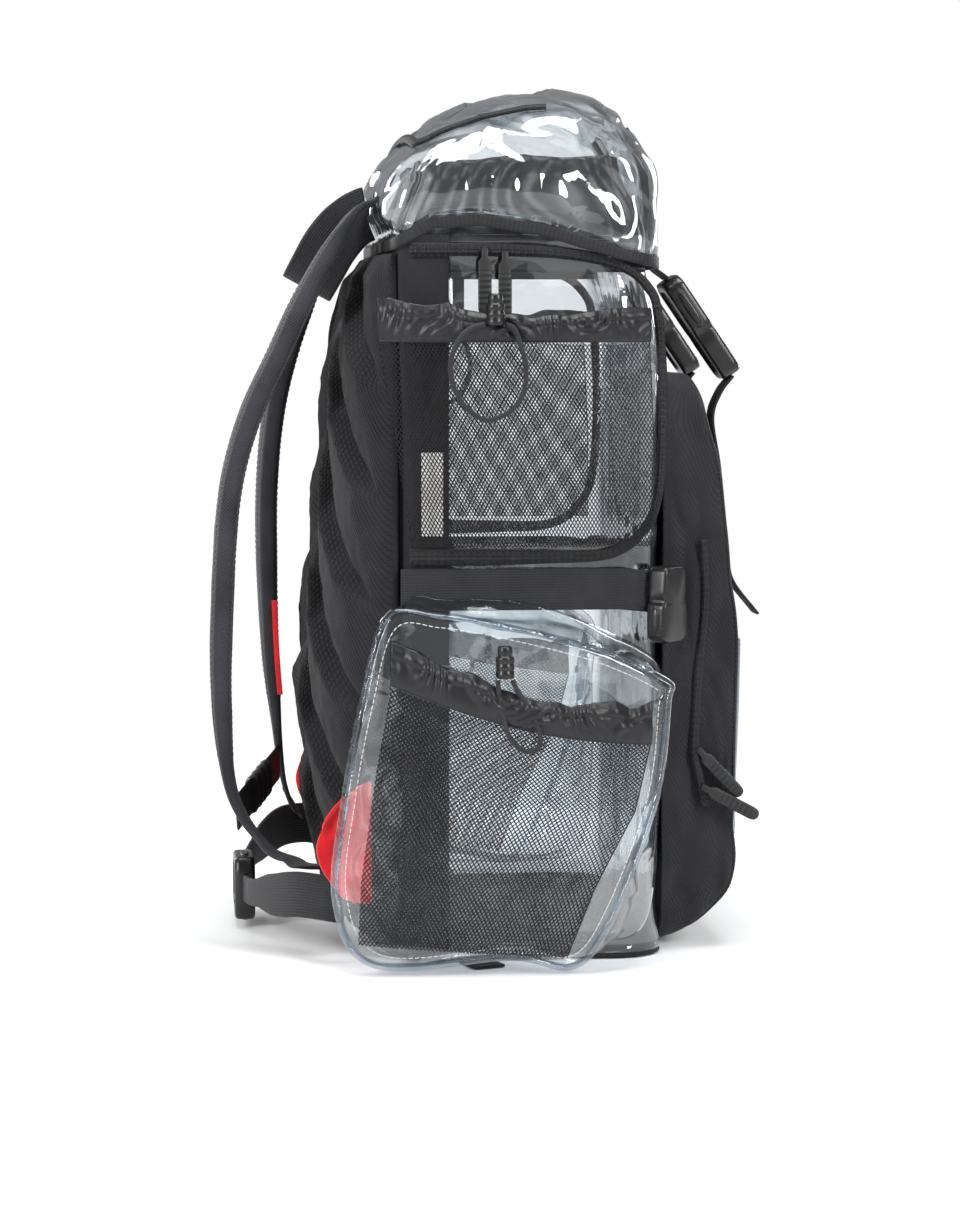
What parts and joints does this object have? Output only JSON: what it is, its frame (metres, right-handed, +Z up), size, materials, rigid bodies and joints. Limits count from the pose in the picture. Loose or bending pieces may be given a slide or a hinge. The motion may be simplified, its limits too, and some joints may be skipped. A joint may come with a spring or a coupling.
{
  "type": "backpack",
  "caption": "Clear flap-top rucksack with gathered mesh side pockets, clear bellows pockets, a black ribbed back pad and black webbing",
  "frame": {"origin": "middle of the base panel's underside, on the plane the pack stands on", "axes": "+X to the wearer's right, +Y toward the wearer, +Z up"},
  "size_m": [0.4348, 0.3479, 0.5235],
  "materials": {
    "clear": "gloss",
    "cloth": "matt",
    "pad": "matt",
    "nylon": "satin",
    "webbing": "matt",
    "plastic": "satin",
    "net": "matt",
    "red": "matt",
    "label": "matt"
  },
  "bodies": {
    "root": {"body_front": "clear", "body_side_left": "clear", "body_side_right": "clear", "lid_shell": "clear", "front_window": "clear", "lower_pocket_left": "clear", "lower_pocket_right": "clear", "back_panel": "cloth", "base_panel": "cloth", "front_pocket": "cloth", "back_pad": "pad", "collar": "nylon", "cuff_upper_left": "nylon", "cuff_upper_right": "nylon", "cuff_lower_left": "nylon", "cuff_lower_right": "nylon", "lid_binding": "webbing", "lid_zip": "webbing", "haul_loop": "webbing", "lid_strap_left": "webbing", "lid_strap_right": "webbing", "lid_tail_left": "webbing", "lid_tail_right": "webbing", "zip_frame_left": "webbing", "zip_frame_right": "webbing", "cord_upper_left": "webbing", "cord_upper_right": "webbing", "comp_strap_left": "webbing", "comp_strap_right": "webbing", "cord_lower_left": "webbing", "cord_lower_right": "webbing", "shoulder_strap_left": "webbing", "shoulder_strap_right": "webbing", "hip_strap_left": "webbing", "hip_strap_right": "webbing", "base_tail_left": "webbing", "base_tail_right": "webbing", "sternum_strap": "plastic", "hip_buckle": "plastic", "front_pull_upper": "plastic", "front_pull_lower": "plastic", "lid_buckle_left": "plastic", "lid_buckle_right": "plastic", "lock_upper_left": "plastic", "lock_upper_right": "plastic", "zip_pull_back_left": "plastic", "zip_pull_back_right": "plastic", "zip_pull_front_left": "plastic", "zip_pull_front_right": "plastic", "comp_buckle_left": "plastic", "comp_buckle_right": "plastic", "lock_lower_left": "plastic", "lock_lower_right": "plastic", "mesh_upper_left": "net", "mesh_upper_right": "net", "mesh_lower_left": "net", "mesh_lower_right": "net", "red_wing_left": "red", "red_wing_right": "red", "side_label": "label"}
  },
  "joints": []
}
